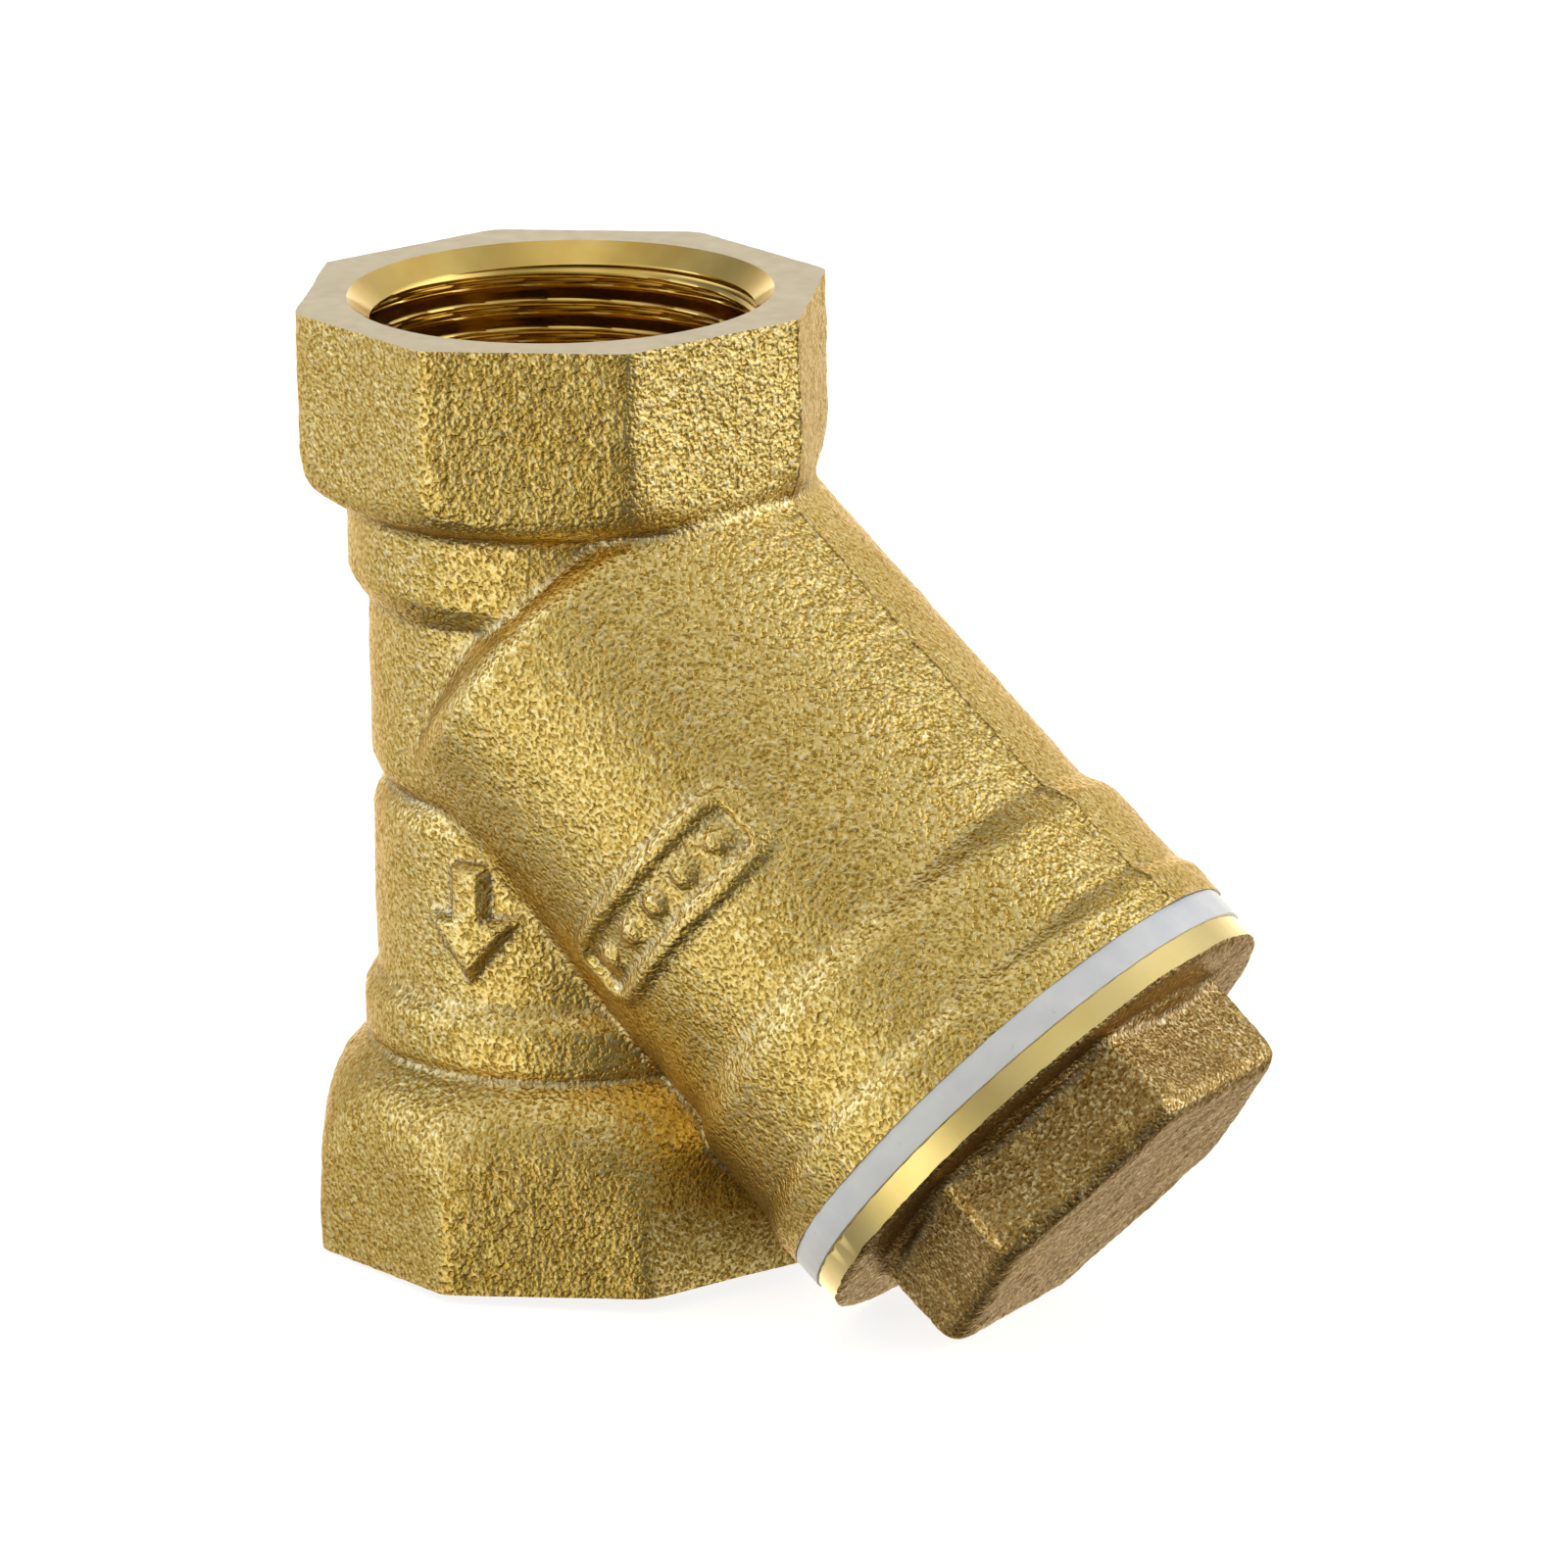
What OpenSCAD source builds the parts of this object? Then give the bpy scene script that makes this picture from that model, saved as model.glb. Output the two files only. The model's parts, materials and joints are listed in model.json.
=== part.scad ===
// Brass Y strainer, DN 25, G1 female threads on both ends.
// The origin is the centre of the outlet port face. +Z runs up the bore to the inlet port,
// and the branch that holds the screen leans down towards +X, so XZ is the plane of symmetry.

/* [Run] */
// Length from the outlet port face to the inlet port face
face_to_face = 77; // [72:1:84]
// Octagon across its flats, on both ends
end_af = 40; // [39:0.5:42]
// Height of the straight part of the inlet octagon
inlet_flat_h = 13.4; // [12:0.2:14]
// Height of the straight part of the outlet octagon
outlet_flat_h = 10.6; // [9:0.2:12]
// Outside radius of the run between its collars
run_r = 15.9; // [15.9:0.1:16.6]
// Inside radius of the water passages
passage_r = 13; // [11:0.5:13]

/* [Branch] */
// Angle between the branch and the outlet half of the run
branch_angle = 47.5; // [45:0.5:50]
// Height at which the two centre lines cross
branch_z = 53.5; // [51:0.1:54]
// Distance from that crossing to the gasket face of the branch
branch_len = 53.4; // [50:0.1:56]
// Outside radius of the branch barrel
branch_r = 20.1; // [19.5:0.1:20.5]

/* [Pipe threads] */
// Minor radius of the G1 pipe thread, which is the wall the mate meets
port_thread_r = 15.146; // [15:0.001:15.2]
// Depth of each threaded port
port_thread_depth = 13.5; // [12:0.5:14]

/* [Cap] */
// Hexagon across its flats
cap_hex_af = 30.5; // [28:0.5:32]
// Height of the hexagon
cap_hex_h = 8.5; // [7:0.5:10]
// Radius of the flange that presses on the gasket
cap_flange_r = 21.8; // [21.5:0.1:23]
// Thickness of that flange
cap_flange_t = 2.3; // [2:0.1:3.5]
// Mean radius of the male M36 x 1.5 thread
cap_thread_r = 17.5; // [17:0.05:17.5]
// Distance the thread reaches into the branch
cap_engagement = 8.8; // [7:0.1:9]

/* [Gasket] */
// Outside radius
gasket_r = 21.8; // [21:0.1:22]
// Thickness as it is clamped
gasket_t = 2.5; // [2:0.1:3.5]

/* [Screen] */
// Outside radius of the perforated sheet
sheet_r = 14.6; // [14.4:0.1:14.6]
// Thickness of that sheet
sheet_t = 0.4; // [0.3:0.1:0.5]
// Radius of one perforation
hole_r = 1.25; // [0.9:0.05:1.3]
// Perforations round one row
holes_round = 20; // [12:1:22]
// Rows of perforations
hole_rows = 9; // [5:1:9]

/* [Hidden] */
$fn = 64;

cut = 0.5; // how far a cutter passes the face it opens

end_corner_r = 21.3;     // turned radius that takes the points off the octagon
end_chamfer = 0.6;
collar_r = 17.4;         // upper collar, under the inlet octagon
collar_h = 4.5;
collar_fall = 2.3;       // height over which the collar falls to the run
shoulder_h = 3.6;        // slope under the inlet octagon
shoulder_bend = [1, 1.8]; // how far in and how far up that slope turns steeper
foot_h = 6;              // slope over the outlet octagon
foot_bends = [[0.9, 1.8], [2.4, 4]];
ridge_r = 16.9;          // lower collar, over the outlet octagon
ridge_z = 20.6;
ridge_fall = 1.5;        // height over which the ridge falls to the chamber
chamber_r = 15.8;         // outlet chamber, below the groove
groove_r = 14.8;
groove_z = 37.9;
groove_half = 1.2;
overlap = 2;             // how far the run reaches into both octagons

countersink_r = 16.9;
countersink_h = countersink_r - port_thread_r;

branch_start = 4;        // the barrel's closed end, along the branch
branch_edge = 0.8;
collar1_at = 39.3;       // first step of the barrel towards the cap
collar1_r = 21.3;
collar1_rise = 2.8;
collar2_at = branch_len - 4;
collar2_r = 22.1;
collar2_rise = 1.5;
seat_at = 4.4;           // shoulder on which the screen's inner end sits
seat_r = 15.05;
web_t = 3;               // web between the inlet and the outlet chamber
cavity_at = seat_at + web_t;
cavity_r = 16.9;
thread_gap = 0.1;        // clearance between the two mean thread radii
branch_thread_r = cap_thread_r + thread_gap;
branch_thread_l = cap_engagement + 1.6;
seat_overlap = 0.01;     // keeps the seat's floor off the end of the inlet passage

gasket_bore_r = 18.3;
gasket_gap = 0.01;       // keeps the gasket's faces off the flange that turns on it
flange_at = branch_len + gasket_t;
hex_at = flange_at + cap_flange_t;
cap_end = hex_at + cap_hex_h;
spigot_at = branch_len - cap_engagement;
undercut_r = cap_thread_r - 0.9;
undercut_l = 2.4;
undercut_slope = 0.6;
thread_lead = 0.8;       // chamfer at the first turn of the thread
pocket_r = 15.1;         // takes the outer end of the screen
pocket_l = 7.4;
hollow_r = 12.6;
hollow_end = hex_at + 2.6;
hex_corner_r = 17.5;     // radius that takes the points off the hexagon
boss_r = 16.1;           // low step under the hexagon
boss_h = 0.7;
crown = [1.3, 0.5];      // width and height of the bevel on the points of the hexagon's end

rim_l = 2.6;
rim_wall = 0.3;
rim_slack = 0.02;
screen_gap = 0.1;        // play at each end of the screen
drill_reach = 2;         // how far a perforation's cutter stands off the sheet
screen_at = seat_at + screen_gap;
screen_end = spigot_at + pocket_l - screen_gap;
hole_field = screen_end - screen_at - 2 * rim_l - 4 * hole_r;

arrow_z = 29.2;
arrow_half = 4.5;
arrow_stem = 2;
arrow_head = 3.5;
arrow_rise = 1;
plate_at = 27.3;         // middle of the cast plate, along the branch
plate_shift = 1;         // how far it sits towards the outlet
plate_size = [22, 7];
plate_line = 1.3;
plate_rise = 0.8;
pip_r = 0.95;
pip_gap = 3.8;

// Turns and moves its children from the branch's own frame, in which +Z is the outward axis.
module on_branch() {
    translate([0, 0, branch_z]) rotate([0, 180 - branch_angle, 0]) children();
}

module tube(outer, inner, from, to) {
    translate([0, 0, from]) difference() {
        cylinder(r = outer, h = to - from);
        translate([0, 0, -cut]) cylinder(r = inner, h = to - from + 2 * cut);
    }
}

module octagon(h) {
    cylinder(d = end_af / cos(22.5), h = h, $fn = 8);
}

// The inlet octagon with its sloping shoulder.
module inlet_end() {
    top = face_to_face;
    low = top - inlet_flat_h;
    base = low - shoulder_h;
    intersection() {
        translate([0, 0, base]) octagon(top - base);
        rotate_extrude() polygon([
            [0, base], [collar_r, base], [end_corner_r - shoulder_bend.x, base + shoulder_bend.y],
            [end_corner_r, low],
            [end_corner_r, top - end_chamfer], [end_corner_r - end_chamfer, top], [0, top]
        ]);
    }
}

// The outlet octagon with its rounder shoulder.
module outlet_end() {
    high = outlet_flat_h;
    intersection() {
        octagon(high + foot_h);
        rotate_extrude() polygon([
            [0, 0], [end_corner_r - end_chamfer, 0], [end_corner_r, end_chamfer],
            [end_corner_r, high], for (bend = foot_bends) [end_corner_r - bend.x, high + bend.y],
            [ridge_r, high + foot_h], [0, high + foot_h]
        ]);
    }
}

// The run between the octagons: ridge, outlet chamber, groove, inlet tube and collar.
module run_outside() {
    collar_top = face_to_face - inlet_flat_h - shoulder_h;
    collar_low = collar_top - collar_h;
    rotate_extrude() polygon([
        [0, overlap], [ridge_r, overlap], [ridge_r, ridge_z], [chamber_r, ridge_z + ridge_fall],
        [chamber_r, groove_z - groove_half], [groove_r, groove_z], [run_r, groove_z + groove_half],
        [run_r, collar_low - collar_fall], [collar_r, collar_low],
        [collar_r, collar_top + overlap], [0, collar_top + overlap]
    ]);
}

module branch_outside() {
    on_branch() rotate_extrude() polygon([
        [0, branch_start], [branch_r - branch_edge, branch_start], [branch_r, branch_start + branch_edge],
        [branch_r, collar1_at], [collar1_r, collar1_at + collar1_rise],
        [collar1_r, collar2_at], [collar2_r, collar2_at + collar2_rise],
        [collar2_r, branch_len], [0, branch_len]
    ]);
}

// Raised flow arrow on the front of the outlet chamber. It points down, towards the outlet.
module flow_arrow() {
    intersection() {
        translate([0, 0, arrow_z]) rotate([90, 0, 0]) linear_extrude(2 * run_r) polygon([
            [-arrow_stem, arrow_half], [arrow_stem, arrow_half], [arrow_stem, 0], [arrow_head, 0],
            [0, -arrow_half], [-arrow_head, 0], [-arrow_stem, 0]
        ]);
        cylinder(r = chamber_r + arrow_rise, h = face_to_face);
    }
}

// Blank raised frame with a row of pips on the front of the branch, where a foundry puts its mark.
module blank_plate() {
    on_branch() intersection() {
        translate([plate_shift, 0, plate_at]) rotate([90, 0, 0]) linear_extrude(2 * branch_r) {
            difference() {
                square(plate_size, center = true);
                square([plate_size.x - 2 * plate_line, plate_size.y - 2 * plate_line], center = true);
            }
            for (i = [-2 : 2]) translate([i * pip_gap, 0]) circle(pip_r);
        }
        cylinder(r = branch_r + plate_rise, h = branch_len);
    }
}

module port(at) {
    translate([0, 0, at]) {
        translate([0, 0, -cut]) cylinder(r = port_thread_r, h = port_thread_depth + cut);
        cylinder(r1 = countersink_r, r2 = port_thread_r, h = countersink_h);
        translate([0, 0, -cut]) cylinder(r = countersink_r, h = cut);
    }
}

// The part of a run passage that lies before (toward = -1) or behind (toward = 1) the web.
module passage(toward) {
    far = face_to_face;
    intersection() {
        translate([0, 0, port_thread_depth - cut])
            cylinder(r = passage_r, h = face_to_face - 2 * port_thread_depth + 2 * cut);
        on_branch() translate([-far, -far, toward < 0 ? seat_at - far : cavity_at])
            cube([2 * far, 2 * far, far]);
    }
}

module body() {
    color("goldenrod") difference() {
        union() {
            inlet_end();
            outlet_end();
            run_outside();
            branch_outside();
            flow_arrow();
            blank_plate();
        }
        port(0);
        translate([0, 0, face_to_face]) mirror([0, 0, 1]) port(0);
        passage(-1);
        passage(1);
        on_branch() {
            translate([0, 0, seat_at - seat_overlap]) cylinder(r = seat_r, h = web_t + cut);
            translate([0, 0, cavity_at]) cylinder(r = cavity_r, h = branch_len - cavity_at);
            translate([0, 0, branch_len - branch_thread_l])
                cylinder(r = branch_thread_r, h = branch_thread_l + cut);
        }
    }
}

module screen_sheet() {
    from = screen_at + rim_wall;
    to = screen_end - rim_wall;
    color("silver") on_branch() difference() {
        tube(sheet_r, sheet_r - sheet_t, from, to);
        for (row = [0 : hole_rows - 1], i = [0 : holes_round - 1])
            translate([0, 0, screen_at + rim_l + 2 * hole_r + row * hole_field / (hole_rows - 1)])
                rotate([0, 90, (i + row % 2 / 2) * 360 / holes_round])
                    translate([0, 0, sheet_r - drill_reach])
                        cylinder(r = hole_r, h = 2 * drill_reach, $fn = 16);
    }
}

// A folded steel rim that is crimped over one end of the sheet. It opens towards +Z.
module rim() {
    outer = sheet_r + rim_slack;
    inner = sheet_r - sheet_t - rim_slack;
    rotate_extrude() polygon([
        [inner - rim_wall, 0], [outer + rim_wall, 0], [outer + rim_wall, rim_l], [outer, rim_l],
        [outer, rim_wall], [inner, rim_wall], [inner, rim_l], [inner - rim_wall, rim_l]
    ]);
}

module screen_upper_rim() {
    color("lightgray") on_branch() translate([0, 0, screen_at]) rim();
}

module screen_lower_rim() {
    color("lightgray") on_branch() translate([0, 0, screen_end]) mirror([0, 0, 1]) rim();
}

module gasket() {
    color("whitesmoke") on_branch()
        tube(gasket_r, gasket_bore_r, branch_len + gasket_gap, flange_at - gasket_gap);
}

module cap() {
    color("darkgoldenrod") on_branch() difference() {
        union() {
            rotate_extrude() polygon([
                [0, spigot_at], [cap_thread_r - thread_lead, spigot_at],
                [cap_thread_r, spigot_at + thread_lead], [cap_thread_r, flange_at - undercut_l],
                [undercut_r, flange_at - undercut_l + undercut_slope],
                [undercut_r, flange_at], [cap_flange_r, flange_at], [cap_flange_r, hex_at], [0, hex_at]
            ]);
            translate([0, 0, flange_at]) cylinder(r = boss_r, h = cap_flange_t + boss_h);
            intersection() {
                translate([0, 0, flange_at]) rotate([0, 0, 30])
                    cylinder(d = cap_hex_af / cos(30), h = cap_end - flange_at, $fn = 6);
                rotate_extrude() polygon([
                    [0, flange_at], [hex_corner_r, flange_at], [hex_corner_r, cap_end - crown.y],
                    [hex_corner_r - crown.x, cap_end], [0, cap_end]
                ]);
            }
        }
        translate([0, 0, spigot_at - cut]) cylinder(r = pocket_r, h = pocket_l + cut);
        translate([0, 0, spigot_at]) cylinder(r = hollow_r, h = hollow_end - spigot_at);
    }
}

body();
screen_sheet();
screen_upper_rim();
screen_lower_rim();
gasket();
cap();
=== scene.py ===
"""Looks for a brass Y strainer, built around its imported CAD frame.

The casting and the cap are made as distance fields, meshed, and then machined with cutters that carry
real helical threads. The gasket, the perforated screen and its rims are built directly. Lengths are
millimetres until a mesh is written, which turns them into metres.
"""

import json
import math

import bpy
import numpy as np
from mathutils import Matrix, Vector


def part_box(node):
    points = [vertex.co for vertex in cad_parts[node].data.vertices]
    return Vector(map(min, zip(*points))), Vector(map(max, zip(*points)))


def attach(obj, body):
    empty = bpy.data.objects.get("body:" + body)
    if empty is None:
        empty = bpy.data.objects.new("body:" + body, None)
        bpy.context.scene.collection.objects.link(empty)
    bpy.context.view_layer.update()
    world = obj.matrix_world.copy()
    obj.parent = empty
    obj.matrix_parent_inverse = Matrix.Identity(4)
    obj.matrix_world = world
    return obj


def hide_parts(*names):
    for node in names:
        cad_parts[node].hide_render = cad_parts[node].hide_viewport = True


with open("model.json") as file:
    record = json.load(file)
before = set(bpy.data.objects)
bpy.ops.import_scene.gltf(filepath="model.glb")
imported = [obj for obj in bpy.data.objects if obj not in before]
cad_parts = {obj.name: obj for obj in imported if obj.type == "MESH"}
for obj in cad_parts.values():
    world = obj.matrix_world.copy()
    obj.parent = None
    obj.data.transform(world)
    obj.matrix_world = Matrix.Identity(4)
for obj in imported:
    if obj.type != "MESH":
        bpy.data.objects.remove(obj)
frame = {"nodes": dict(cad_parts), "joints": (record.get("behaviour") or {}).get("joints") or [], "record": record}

MM = 0.001
TURN = 2 * math.pi

# ---------------------------------------------------------------- what the frame says

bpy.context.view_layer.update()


def joint(name):
    return next(j for j in frame["joints"] if j["name"] == name)


def mount(name):
    return next(m for m in frame["record"]["mounts"] if m["name"] == name)


OUT = np.array(joint("cap_turn")["axis"], float)        # along the branch, away from the run
OUT /= np.linalg.norm(OUT)
CROSS = np.array(joint("cap_turn")["pos_m"], float) / MM  # where the two centre lines meet
SIDE = np.array([0.0, 1.0, 0.0])
DOWN = np.cross(SIDE, OUT)                              # completes the right-handed branch frame


def span(node):
    """(start, end, radius) of a node along and round the branch, in millimetres."""
    points = np.array([v.co for v in frame["nodes"][node].data.vertices], float) / MM - CROSS
    along = points @ OUT
    radius = np.hypot(points @ DOWN, points @ SIDE)
    return float(along.min()), float(along.max()), float(radius.max())


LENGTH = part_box("body")[1].z / MM
BORE_R = mount("inlet_thread")["dims"]["r_mm"]
GASKET_START, GASKET_END, GASKET_R = span("gasket")
CAP_START, CAP_END, FLANGE_R = span("cap")
SCREEN_START, _, RIM_R = span("screen_upper_rim")
_, SCREEN_END, _ = span("screen_lower_rim")
SHEET_R = span("screen_sheet")[2]

# ---------------------------------------------------------------- sizes that the box of a node doesn't give

OCTAGON_APOTHEM = 20.0
BRANCH_R = 20.1
SEAT_AT = 4.4              # shoulder that the screen's inner end meets, along the branch
SEAT_R = 15.05
CAVITY_AT = 7.4            # where the outlet chamber starts, along the branch
CAVITY_END = 47.0          # where the chamber as cast ends, inside what is cut for the thread
CAVITY_R = 16.9
PASSAGE_R = 13.0
THREAD_DEPTH = 13.5
COUNTERSINK_R = 16.9
PIPE_PITCH = 2.309
PIPE_THREAD = 1.479        # radial depth of the G1 thread
CAP_PITCH = 1.5
CAP_MINOR_R = 17.1
CAP_THREAD = 0.85          # radial depth of the cap's thread
CAP_PLAY = 0.1             # how much wider the branch's thread is cut
BRANCH_THREAD_AT = 41.6    # where the branch's thread starts
FLANGE_T = 2.3
HEX_APOTHEM = 15.25
POCKET_R = 15.1            # pocket in the cap that holds the screen's outer rim
POCKET_L = 7.4
HOLLOW_R = 12.6
HOLLOW_FLOOR = 6.6         # brass left between the cap's hollow and its end
SHEET_T = 0.4
RIM_T = 0.32

rng = np.random.default_rng(7)

# ---------------------------------------------------------------- distance fields


def smooth_min(a, b, k):
    """The smaller of two distances, with the corner between them rounded over a width of about k."""
    h = np.maximum(k - np.abs(a - b), 0) / k
    return np.minimum(a, b) - h * h * k / 4


def smooth_max(a, b, k):
    return -smooth_min(-a, -b, k)


def smooth_step(low, high, value):
    t = np.clip((value - low) / (high - low), 0, 1)
    return t * t * (3 - 2 * t)


def prism(x, y, apothem, sides, first_normal, softness):
    """A prism along z whose corners are rounded by a soft maximum of its faces."""
    total = 0
    for i in range(sides):
        angle = first_normal + i * TURN / sides
        face = x * math.cos(angle) + y * math.sin(angle) - apothem
        total = total + np.exp(np.clip(face, -60, 12) * softness)
    return np.log(total) / softness


class Profile:
    """A radius along an axis, from corner points, with every corner rounded by the same amount."""

    STEP = 0.05

    def __init__(self, points, rounding):
        at, radius = zip(*points)
        self.at = np.arange(at[0], at[-1], self.STEP)
        reach = int(4 * rounding / self.STEP)
        kernel = np.exp(-0.5 * (np.arange(-reach, reach + 1) * self.STEP / rounding) ** 2)
        padded = np.pad(np.interp(self.at, at, radius), reach, mode="edge")
        self.radius = np.convolve(padded, kernel / kernel.sum(), mode="valid")
        self.lean = 1 / np.sqrt(1 + np.gradient(self.radius, self.STEP) ** 2)

    def distance(self, along, radius):
        edge = np.interp(along, self.at, self.radius)
        return (radius - edge) * np.interp(along, self.at, self.lean)


# Each profile is a list of (place along the axis, radius). The run and the domes start from the outlet's
# face, and the barrel from where the two centre lines cross. Past its ends a profile keeps its last radius.
RUN = Profile([
    (-6, 16.4), (16.6, 16.4), (17.5, 16.95), (20.6, 16.95), (21.2, 16.7), (22.2, 15.9), (22.6, 15.8),
    (35.9, 15.8), (37.2, 15.3), (37.9, 14.5), (38.7, 15.3), (40.1, 15.85),
    (53.1, 15.8), (53.5, 16.3), (55.2, 17.3), (84, 17.3),
], 0.26)
BARREL = Profile([
    (-3, 15.9), (2.1, 16.7), (2.8, 17.5), (3.75, 19.2), (3.95, 19.2), (4.4, 19.7), (5.2, 20.05),
    (6.9, BRANCH_R), (39.2, BRANCH_R), (39.7, 20.2), (41.5, 21.2), (42.3, 21.35), (49.2, 21.35),
    (49.5, 21.45), (50.6, 22.05), (62, 22.05),
], 0.26)
INLET_DOME = Profile([
    (40, 10), (56, 10), (60.5, 16.0), (60.9, 17.2), (61.6, 18.8), (62.5, 20.4), (63.6, 21.4), (66, 22.4),
    (84, 22.6),
], 0.3)
OUTLET_DOME = Profile([
    (-6, 22.6), (4, 22.4), (7.8, 21.8), (10.1, 21.0), (12.0, 20.25), (14.4, 18.9), (15.9, 17.5),
    (16.7, 16.2), (17.1, 15), (40, 12),
], 0.3)


def branch_frame(x, y, z):
    """World coordinates as the branch's own: down, side, out."""
    down = (x - CROSS[0]) * DOWN[0] + (z - CROSS[2]) * DOWN[2]
    out = (x - CROSS[0]) * OUT[0] + (z - CROSS[2]) * OUT[2]
    return down, y, out


def rounded_box(x, y, half_x, half_y, corner):
    qx = np.abs(x) - half_x + corner
    qy = np.abs(y) - half_y + corner
    outside = np.hypot(np.maximum(qx, 0), np.maximum(qy, 0))
    return outside + np.minimum(np.maximum(qx, qy), 0) - corner


ARROW_Z = 29.2
ARROW_HALF = 4.5        # half its length
ARROW_STEM = 1.45       # half the stem's width
ARROW_HEAD = 3.6        # half the head's width
ARROW_RISE = 1.0
ARROW_TAIL = 34.0       # height above which the stem is cut off


def arrow_outline(x, z):
    """Signed distance to a flow arrow that points down, about its middle."""
    stem = rounded_box(x, z - ARROW_HALF / 2, ARROW_STEM, ARROW_HALF / 2 + 0.2, 0.3)
    slope = math.hypot(ARROW_HALF, ARROW_HEAD)
    head = (np.abs(x) * ARROW_HALF - (z + ARROW_HALF) * ARROW_HEAD) / slope
    head = np.maximum(head, z - 0.3)
    return np.minimum(stem, head)


PLATE_AT = 27.3
PLATE_HALF = (11.0, 3.5)
PLATE_LINE = 0.65       # half the width of the frame's line
PLATE_RISE = 0.65
PIP_R = 0.95
PIP_GAP = 3.8


def plate_outline(across, along):
    """Signed distance to a blank foundry frame with a row of pips."""
    ring = np.abs(rounded_box(across, along, PLATE_HALF[0] - PLATE_LINE, PLATE_HALF[1] - PLATE_LINE, 1.6))
    shape = ring - PLATE_LINE
    for i in (-2, -1, 0, 1, 2):
        shape = np.minimum(shape, np.hypot(across - i * PIP_GAP, along) - PIP_R)
    return shape


def relief(outline, rise, soft):
    """Height of a raised mark whose edges slope over twice soft."""
    return rise * smooth_step(soft, -soft, outline)


def port_end(x, y, z, radius, dome):
    """An octagon whose inner end is rounded over by a turned dome."""
    octagon = prism(x, y, OCTAGON_APOTHEM, 8, math.pi / 8, 4.0)
    return smooth_max(octagon, dome.distance(z, radius), 1.3)


def water_space(x, y, z, down, side, out, radius):
    """Everything the water fills, apart from what is machined."""
    inset = 6                      # from each end of the run, inside what the port cutters take away
    bore = radius - PASSAGE_R
    above_web = smooth_max(smooth_max(bore, out - SEAT_AT, 1.2), z - LENGTH + inset, 1)
    below_web = smooth_max(smooth_max(bore, CAVITY_AT - out, 1.2), inset - z, 1)
    cavity = np.hypot(down, side) - CAVITY_R
    cavity = smooth_max(smooth_max(cavity, CAVITY_AT - out, 1), out - CAVITY_END, 1)
    return np.minimum(above_web, smooth_min(below_web, cavity, 1.5))


BARREL_AT = 1.7         # where the barrel's closed end is, along the branch
PARTING_RISE = 0.2      # what is left of the flash along the mould's parting line
PARTING_HALF = 0.4      # half its width
PARTING_STEP = 0.12     # how far the mould's two halves were out of line


def casting(x, y, z):
    """Signed distance to the body as it leaves the mould, with stock left on the machined faces."""
    radius = np.hypot(x, y)
    down, side, out = branch_frame(x, y, z)
    run = RUN.distance(z, radius)
    barrel = BARREL.distance(out, np.hypot(down, side))
    barrel = smooth_max(barrel, BARREL_AT - out, 1.0)
    barrel = smooth_max(barrel, out - GASKET_START - 1, 0.5)
    shape = smooth_min(run, port_end(x, y, z, radius, INLET_DOME), 0.7)
    shape = smooth_min(shape, port_end(x, y, z, radius, OUTLET_DOME), 0.7)
    shape = smooth_min(shape, barrel, 0.9)
    front = smooth_step(-6, -9, y)
    arrow = relief(arrow_outline(x + 0.1, z - ARROW_Z), ARROW_RISE, 0.5) * front * (z < ARROW_TAIL)
    on_run = smooth_step(1.5, 0.2, np.abs(run - shape))
    on_barrel = smooth_step(1.5, 0.2, np.abs(barrel - shape))
    plate = relief(plate_outline(-down + 1.0, out - PLATE_AT), PLATE_RISE, 0.6) * front
    shape = shape - arrow * on_run - plate * on_barrel
    unevenness = 0.6 + 0.4 * np.sin(x * 2.1 + z) * np.sin(z * 1.7 - x)
    flash = PARTING_RISE * np.exp(-((y / PARTING_HALF) ** 2)) * unevenness
    shape = shape - flash - PARTING_STEP * smooth_step(-PARTING_HALF, PARTING_HALF, y)
    shape = np.maximum(shape, np.maximum(z - LENGTH - 1, -1 - z))
    return smooth_max(shape, -water_space(x, y, z, down, side, out, radius), 0.6)


HEX_DISH = 0.32         # how far the middle of each flat is sunk
HEX_HALF_FLAT = 8.2     # where that hollow ends, across a flat
HEX_SOFTNESS = 2.1
HEX_END_ROUNDING = 2.0
BOSS_R = 16.1           # low boss between the hexagon and the flange
BOSS_H = 0.7
SPIGOT_R = 18.9         # before the thread is turned on it
FORGING_STOCK = 0.5


def cap_forging(x, y, z):
    """Signed distance to the cap as forged, in the branch's frame, with stock left on what is turned."""
    flange_face = GASKET_END + FLANGE_T
    middle = (flange_face + CAP_END) / 2
    half = (CAP_END - flange_face) / 2
    total = 0
    for i in range(6):
        angle = i * TURN / 6
        across = y * math.cos(angle) - x * math.sin(angle)
        dish = np.clip(1 - (across / HEX_HALF_FLAT) ** 4, 0, 1)
        dish = dish * np.clip(1 - ((z - middle - 0.2) / (half - 0.3)) ** 4, 0, 1)
        face = x * math.cos(angle) + y * math.sin(angle) - HEX_APOTHEM + HEX_DISH * dish
        total = total + np.exp(np.clip(face, -60, 12) * HEX_SOFTNESS)
    hexagon = smooth_max(np.log(total) / HEX_SOFTNESS, z - CAP_END, HEX_END_ROUNDING)
    radius = np.hypot(x, y)
    boss = smooth_max(radius - BOSS_R, z - flange_face - BOSS_H, 0.8)
    flange = smooth_max(radius - FLANGE_R - FORGING_STOCK, z - flange_face - 0.12, 1.6)
    flange = smooth_max(flange, GASKET_END - FORGING_STOCK - z, 0.3)
    spigot = smooth_max(radius - SPIGOT_R, z - flange_face, 0.3)
    shape = smooth_min(smooth_min(hexagon, boss, 0.5), flange, 1.3)
    shape = smooth_max(shape, GASKET_END - FORGING_STOCK - z, 0.3)
    return smooth_max(np.minimum(shape, spigot), CAP_START - 1 - z, 0.3)


# ---------------------------------------------------------------- from fields and rows to meshes


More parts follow.
